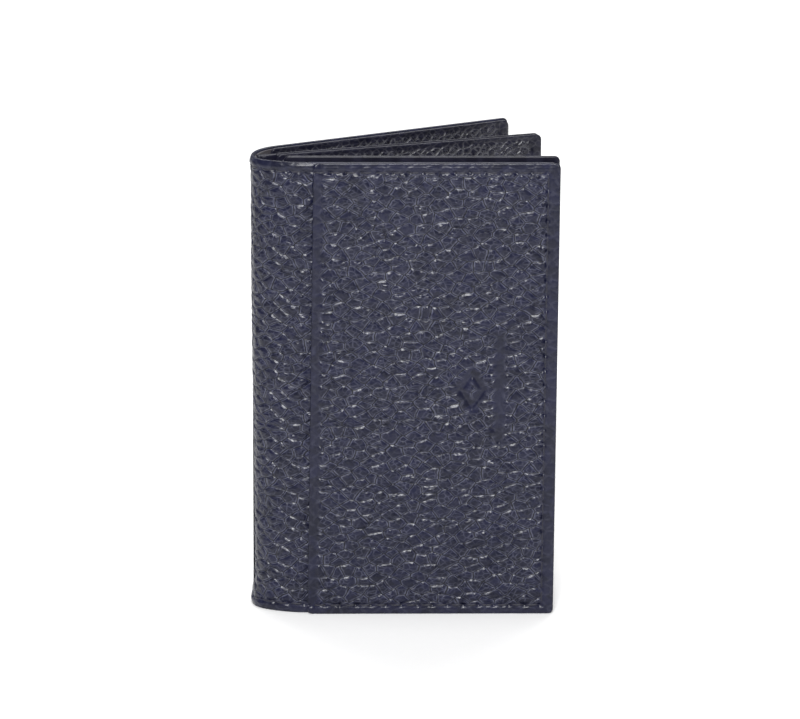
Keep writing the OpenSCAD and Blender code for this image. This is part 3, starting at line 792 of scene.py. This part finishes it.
seam_s = spaced((OVERLAY_X + 0.6, WIDTH - SEAM_TRIM, 6))
seam(outer_pocket, front_line, seam_s, spaced((SEAM_TRIM, SEAM_W, 1)), OVERLAY_T, OVERLAY_GAP, -1)
seam(outer_pocket, front_line, seam_s, spaced((HEIGHT - SEAM_W, HEIGHT - SEAM_TRIM, 1)),
     OVERLAY_T, OVERLAY_GAP, -1)
seam(outer_pocket, front_line, spaced((WIDTH - SEAM_W, WIDTH - SEAM_TRIM, 1)),
     spaced((SEAM_W, HEIGHT - SEAM_W, 6)), OVERLAY_T, OVERLAY_GAP, -1)
outer_pocket_piece = outer_pocket.make("outer_pocket_leather", outer_leather)
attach(outer_pocket_piece, "front_cover")
finished(outer_pocket_piece, "cover_leather", "front_outer_pocket")


# ------------------------------------------------ linings
def lining_depth(end, board_t):
    """The lining lies on the leather round the bend, and climbs onto the board."""
    low, high = end + BOARD_X - 1.2, end + BOARD_X + 0.4
    return lambda s: COVER_T + LINING_T + board_t * smooth(np.abs(s), low, high)


def lining_height(s, z):
    ripple = 0.03 * drift(s, z, 9, 5) + 0.015 * drift(s, z, 3, 6)
    return ripple, 0 * s, 0 * s + MID_TONE


lining_z = spaced((LINING_TRIM, HEIGHT - LINING_TRIM, 0.8))
front_lining = panel(Shape(), holder_line,
                     spaced((front_end + LINING_TRIM, -FRONT_ARC - 3, 1.2), (-FRONT_ARC - 3, 0, 0.3)),
                     lining_z, lining_depth(FRONT_ARC, FRONT_BOARD_T), LINING_T, 1, LINING_NOSE,
                     LINING_CORNER, ("left", "bottom", "top"), lining_height)
back_lining = panel(Shape(), holder_line,
                    spaced((0, BACK_ARC + 3, 0.3), (BACK_ARC + 3, back_end - LINING_TRIM, 1.2)),
                    lining_z, lining_depth(BACK_ARC, BACK_BOARD_T), LINING_T, 1, LINING_NOSE,
                    LINING_CORNER, ("right", "bottom", "top"), lining_height)
finished(with_front(front_lining.make("front_and_spine_lining", lining_cloth)),
         "lining", "front_cover_lining", "spine_lining")
finished(with_back(back_lining.make("back_and_spine_lining", lining_cloth)), "lining", "back_cover_lining")


# ------------------------------------------------ inner faces: a panel and two card pockets each
FINE = 0.36                       # grid steps where the leather shows and where it's covered
COARSE = 3.0


def pocket_face(name, body, line, x0, x1, z0, z1, panel_face, panel_t, corner, seed, gap=0.0):
    """One inner face: its full panel, the strip of the upper pocket and the sheet of the lower one."""
    first_s = stitch_row(x0 + 1, x1 - STITCH_INSET - 1)[0]
    first_z = stitch_row(z0 + STITCH_INSET, z1 - STITCH_INSET)[0]
    size = (2.9, 2.3)
    s_fine = spaced((x0, x1, FINE))

    def inner_edge(s):
        """How much of the grain shows along the inner edge, and the edge's soft roll."""
        e = s - x0
        return 0.2 + 0.8 * smooth(e, 0.6, 2.2), -0.05 * bell(e, 1.5, 0.4)

    def panel_height(s, z):
        d = z1 - z
        height, grain = plain_edge(d)
        side, side_grain = hem(x1 - s, z, first_z)
        height = np.where(x1 - s < d, side, height)
        share, roll = inner_edge(s)
        grain = np.minimum(grain, side_grain) * share
        rough, tone = pebbles(s, z, size, 0.08, seed)
        turned = pleats(x1 - s, d, corner)
        low = smooth(z, UPPER_MOUTH - 4, UPPER_MOUTH - 2)
        return (height + roll + turned + rough * grain) * low, grain, tone

    def mouth(z, top):
        """The turned edge of a pocket's mouth, with a creased line below it."""
        d = top - z
        return 0.05 * bell(d, 0.7, 0.5) - 0.10 * bell(d, 1.6, 0.25), 0.15 + 0.85 * smooth(d, 1.5, 2.5)

    def pocket_height(top, bottom_hem):
        def height_of(s, z):
            height, grain = hem(x1 - s, z, first_z)
            if bottom_hem:
                low, low_grain = hem(z - z0, s, first_s)
                height = np.where(z - z0 < x1 - s, low, height)
                grain = np.minimum(grain, low_grain)
            lip, lip_grain = mouth(z, top)
            share, roll = inner_edge(s)
            rough, tone = pebbles(s + 31, z + (17 if bottom_hem else 5), size, 0.08, seed + 1)
            grain = grain * lip_grain * share
            return height + lip + roll + rough * grain, grain, tone
        return height_of

    low_seam, outer_seam = spaced((z0 + SEAM_TRIM, z0 + SEAM_W, 1)), (x1 - SEAM_W, x1 - SEAM_TRIM)
    sheet = panel(Shape(), line, s_fine, spaced((z0, UPPER_MOUTH - 4, COARSE), (UPPER_MOUTH - 4, z1, FINE)),
                  panel_face, panel_t, 1, panel_t * 0.46, corner, ALL_SIDES, panel_height, seed)
    if gap:
        behind = panel_face - panel_t
        seam(sheet, line, spaced((FLAT_X + BOARD_X, x1 - SEAM_TRIM, 6)), low_seam, behind, gap, 1)
        high = HEIGHT - STITCH_INSET
        seam(sheet, line, spaced((*outer_seam, 1)), spaced((z0 + SEAM_W, high, 6)), behind, gap, 1)
    upper_low = LOWER_MOUTH - POCKET_LAP
    upper = panel(Shape(), line, s_fine,
                  spaced((upper_low, LOWER_MOUTH - 2, COARSE), (LOWER_MOUTH - 2, UPPER_MOUTH, FINE)),
                  panel_face + POCKET_T, POCKET_T, 1, POCKET_T * 0.42, POCKET_CORNER_R, ALL_SIDES,
                  pocket_height(UPPER_MOUTH, False), seed + 40)
    lower = panel(Shape(), line, s_fine, spaced((z0, LOWER_MOUTH, FINE)),
                  panel_face + 2 * POCKET_T, POCKET_T, 1, POCKET_T * 0.42, POCKET_CORNER_R, ALL_SIDES,
                  pocket_height(LOWER_MOUTH, True), seed + 80)
    between = panel_face + POCKET_T
    seam(lower, line, spaced((x0 + SEAM_TRIM, x1 - SEAM_TRIM, 6)), low_seam, between, POCKET_T, 1)
    for low, high in ((x0 + SEAM_TRIM, x0 + SEAM_W), outer_seam):
        seam(lower, line, spaced((low, high, 1)), spaced((z0 + SEAM_W, upper_low, 6)), between, POCKET_T, 1)
    for shape, part in ((sheet, "panel"), (upper, "upper_pocket"), (lower, "lower_pocket")):
        prefix = name if name.startswith("leaf") or part != "panel" else name + "_inner"
        piece = shape.make(f"{name}_{part}_leather", inner_leather)
        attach(piece, body)
        finished(piece, "inner_leather", f"{prefix}_{part}")

    stitches = Shape()
    for z in stitch_row(z0 + STITCH_INSET, z1 - STITCH_INSET):
        if min(abs(z - LOWER_MOUTH), abs(z - UPPER_MOUTH)) > STITCH_LEN / 2:
            stack = 0 if z > UPPER_MOUTH else POCKET_T if z > LOWER_MOUTH else 2 * POCKET_T
            thread(stitches, line, x1 - STITCH_INSET, z, "z", panel_face + stack, 1)
    for s in stitch_row(x0 + 1, x1 - STITCH_INSET - 1):
        thread(stitches, line, s, z0 + STITCH_INSET, "s", panel_face + 2 * POCKET_T, 1)
    return stitches


front_panel_face = FRONT_FACE + COVER_T + FRONT_BOARD_T + LINING_T + SLIP_GAP + INNER_T
back_panel_face = COVER_T + BACK_BOARD_T + LINING_T + INNER_T
front_stitches = pocket_face("front", "front_cover", front_line, FRONT_INNER_X, WIDTH, 0, HEIGHT + INNER_RISE,
                             front_panel_face, INNER_T, CORNER_R, 101, SLIP_GAP)
back_stitches = pocket_face("back", "back_cover", back_line, BACK_INNER_X, BACK_REACH - BACK_INNER_TRIM,
                            0, HEIGHT, back_panel_face, INNER_T, CORNER_R, 111)
leaf_sides = [pocket_face("leaf_" + side, "middle_leaf", line, LEAF_X, LEAF_REACH, LEAF_INSET, HEIGHT,
                          LEAF_FACE, LEAF_PANEL_T, LEAF_CORNER_R, seed)
              for side, line, seed in (("front", leaf_front_line, 121), ("rear", leaf_rear_line, 131))]


# ------------------------------------------------ stitches
def merged(shapes):
    whole = Shape()
    for shape in shapes:
        whole.add(np.concatenate(shape.points), shape.faces, np.concatenate(shape.own),
                  np.concatenate(shape.grain), np.concatenate(shape.tone))
    return whole


for name, body, shape in (("front_pocket", "front_cover", front_stitches),
                          ("back_pocket", "back_cover", back_stitches),
                          ("leaf", "middle_leaf", merged(leaf_sides))):
    piece = shape.make(name + "_stitches", thread_yarn)
    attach(piece, body)
    finished(piece, "thread", name + "_stitching")

overlay_stitches = Shape()
for s in stitch_row(OVERLAY_X, WIDTH - STITCH_INSET):
    for z in (EDGE_INSET, HEIGHT - EDGE_INSET):
        thread(overlay_stitches, front_line, s, z, "s", 0, -1)
for z in stitch_row(EDGE_INSET, HEIGHT - EDGE_INSET):
    thread(overlay_stitches, front_line, WIDTH - STITCH_INSET, z, "z", 0, -1)
piece = overlay_stitches.make("outer_pocket_stitches", thread_yarn)
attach(piece, "front_cover")
finished(piece, "thread", "front_cover_stitching")

spine_stitches, back_cover_stitches = Shape(), Shape()
for i in range(SPINE_STITCHES):  # a hair inside the front half, whose line they follow
    for z in (EDGE_INSET, HEIGHT - EDGE_INSET):
        thread(spine_stitches, holder_line, -i * STITCH_PITCH - 1e-6, z, "s", 0, -1)
for i in range(1, int((back_end - STITCH_INSET) / STITCH_PITCH)):
    for z in (EDGE_INSET, HEIGHT - EDGE_INSET):
        thread(back_cover_stitches, holder_line, i * STITCH_PITCH, z, "s", 0, -1)
for z in stitch_row(EDGE_INSET, HEIGHT - EDGE_INSET):
    thread(back_cover_stitches, holder_line, back_end - STITCH_INSET, z, "z", 0, -1)
finished(with_front(spine_stitches.make("spine_stitches", thread_yarn)), "thread", "spine_stitching")
finished(with_back(back_cover_stitches.make("back_cover_stitches", thread_yarn)),
         "thread", "back_cover_stitching")


# ------------------------------------------------ the leaf's hinge: a folded strip of leather
def hinge_outline():
    """The strip's section in plan: rolled at the hinge, then flat."""
    profile = ((-1.55, 1.25), (-1.3, 1.05), (-0.9, 0.92), (-0.3, 1.05), (0.2, 1.1), (0.8, 0.98),
               (1.4, 0.78), (2.0, 0.68), (2.7, 0.62))
    along, half = (np.array(v) for v in zip(*profile))
    fine = np.linspace(along[0], along[-1], 22)
    width = np.interp(fine, along, half)
    return np.concatenate([np.stack([fine, -width], -1), np.stack([fine, width], -1)[::-1]])


def hinge_strip():
    """A strip sewn to the tape on one side, and flat between the leaf's panels on the other."""
    outline = hinge_outline()
    low, high, soft = LEAF_INSET, HEIGHT, 0.35
    levels = spaced((low + soft, high - soft, 0.7))
    levels = np.concatenate([[low, low + soft * 0.3], levels, [high - soft * 0.3, high]])
    inset = np.zeros(len(levels))
    inset[[0, -1]], inset[[1, -2]] = soft, soft * 0.3
    ring = len(outline)
    points, own = [], []
    around = np.cumsum(np.hypot(*np.diff(outline, axis=0, prepend=outline[:1]).T))
    for z, pull in zip(levels, inset):
        wobble = 0.05 * drift(around, np.full(ring, z), 2.6, 9) * (pull == 0)
        y = np.sign(outline[:, 1]) * (np.abs(outline[:, 1]) - pull + wobble)
        points.append(np.stack([outline[:, 0] + pull * 0.5, y, np.full(ring, z)], -1))
        own.append(np.stack([around, np.full(ring, z), 0 * around], -1))
    points = np.concatenate(points)
    cosine, sine = math.cos(LEAF_ANGLE), math.sin(LEAF_ANGLE)
    x, y = points[:, 0].copy(), points[:, 1].copy()
    points[:, 0] = LEAF_HINGE_X + x * cosine - y * sine
    points[:, 1] = SPINE_Y + x * sine + y * cosine
    faces = tube_faces(np.arange(len(points)).reshape(len(levels), ring))
    own = np.concatenate(own)
    return Shape().add(points, faces, own, np.zeros(len(points)), np.full(len(points), MID_TONE))


strip = hinge_strip().make("leaf_hinge_leather", inner_leather)
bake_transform(strip)
finished(strip, "inner_leather", "leaf_hinge_strip")

# ------------------------------------------------ CAD pieces that stay
for name, material in (("leaf_anchor_tape", tape_leather), ("front_stiffener", stiff_board),
                       ("back_stiffener", stiff_board), ("leaf_core", stiff_board),
                       ("front_pocket_fabric", pocket_cloth), ("back_pocket_fabric", pocket_cloth),
                       ("leaf_front_pocket_fabric", pocket_cloth), ("leaf_rear_pocket_fabric", pocket_cloth)):
    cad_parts[name].data.materials.clear()
    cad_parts[name].data.materials.append(material)


# ------------------------------------------------ floor, lights and camera
def floor():
    mesh = bpy.data.meshes.new("floor")
    reach = 12.0
    mesh.from_pydata([(-reach, -reach, 0), (reach, -reach, 0), (reach, reach, 0), (-reach, reach, 0)], [],
                     [(0, 1, 2, 3)])
    material, tree, shader = principled("floor_paper")
    here = coordinates(tree, False)
    paper = noise(tree, here, 400, 3)
    tree.links.new(mixed(tree, paper, (0.90, 0.90, 0.90), (0.92, 0.92, 0.92)), shader.inputs["Base Color"])
    shader.inputs["Roughness"].default_value = 0.9
    shader.inputs["Specular IOR Level"].default_value = 0.1
    mesh.materials.append(material)
    made = bpy.data.objects.new("floor", mesh)
    bpy.context.scene.collection.objects.link(made)


def softbox(name, at, aim, size, power):
    light = bpy.data.lights.new(name, "AREA")
    light.shape = "RECTANGLE"
    light.size, light.size_y = size
    light.energy = power
    made = bpy.data.objects.new(name, light)
    made.location = at
    made.rotation_mode = "QUATERNION"
    made.rotation_quaternion = (Vector(aim) - Vector(at)).to_track_quat("-Z", "Y")
    bpy.context.scene.collection.objects.link(made)


floor()
softbox("overhead", at=(0.0, -0.1, 1.5), aim=(0, 0, 0), size=(0.7, 0.5), power=6)
softbox("key", at=(-0.07, -0.95, 0.84), aim=(0, 0, 0.06), size=(0.34, 0.2), power=13.5)
softbox("background", at=(0.0, 1.5, 1.9), aim=(0, 2.0, 0), size=(2.4, 1.0), power=60)

world = bpy.data.worlds.new("studio")
bpy.context.scene.world = world
world.use_nodes = True
world.node_tree.nodes["Background"].inputs["Color"].default_value = (1, 1, 1, 1)
world.node_tree.nodes["Background"].inputs["Strength"].default_value = 0.26

scene = bpy.context.scene
scene.view_settings.view_transform = "Standard"

CAMERA_AT = (-0.02373, -0.89503, 0.31483)
CAMERA_ANGLES = (1.5, 16.276, 0.398)   # to the side, down and rolled, in degrees
CAMERA_LENS = 183.5


def camera():
    """From 0.95 m away, 1.5 degrees to the side and 16.3 degrees above, with a slight roll."""
    turn, down, roll = (math.radians(angle) for angle in CAMERA_ANGLES)
    forward = Vector((math.sin(turn) * math.cos(down), math.cos(turn) * math.cos(down), -math.sin(down)))
    right = Vector((math.cos(turn), -math.sin(turn), 0))
    up = right.cross(forward)
    rolled_right = math.cos(roll) * right + math.sin(roll) * up
    rolled_up = -math.sin(roll) * right + math.cos(roll) * up
    data = bpy.data.cameras.new("camera")
    data.lens, data.sensor_width = CAMERA_LENS, 36
    data.clip_start, data.clip_end = 0.05, 40
    made = bpy.data.objects.new("camera", data)
    spin = Matrix((rolled_right, rolled_up, -forward)).transposed().to_4x4()
    made.matrix_world = Matrix.Translation(CAMERA_AT) @ spin
    scene.collection.objects.link(made)
    scene.camera = made


camera()
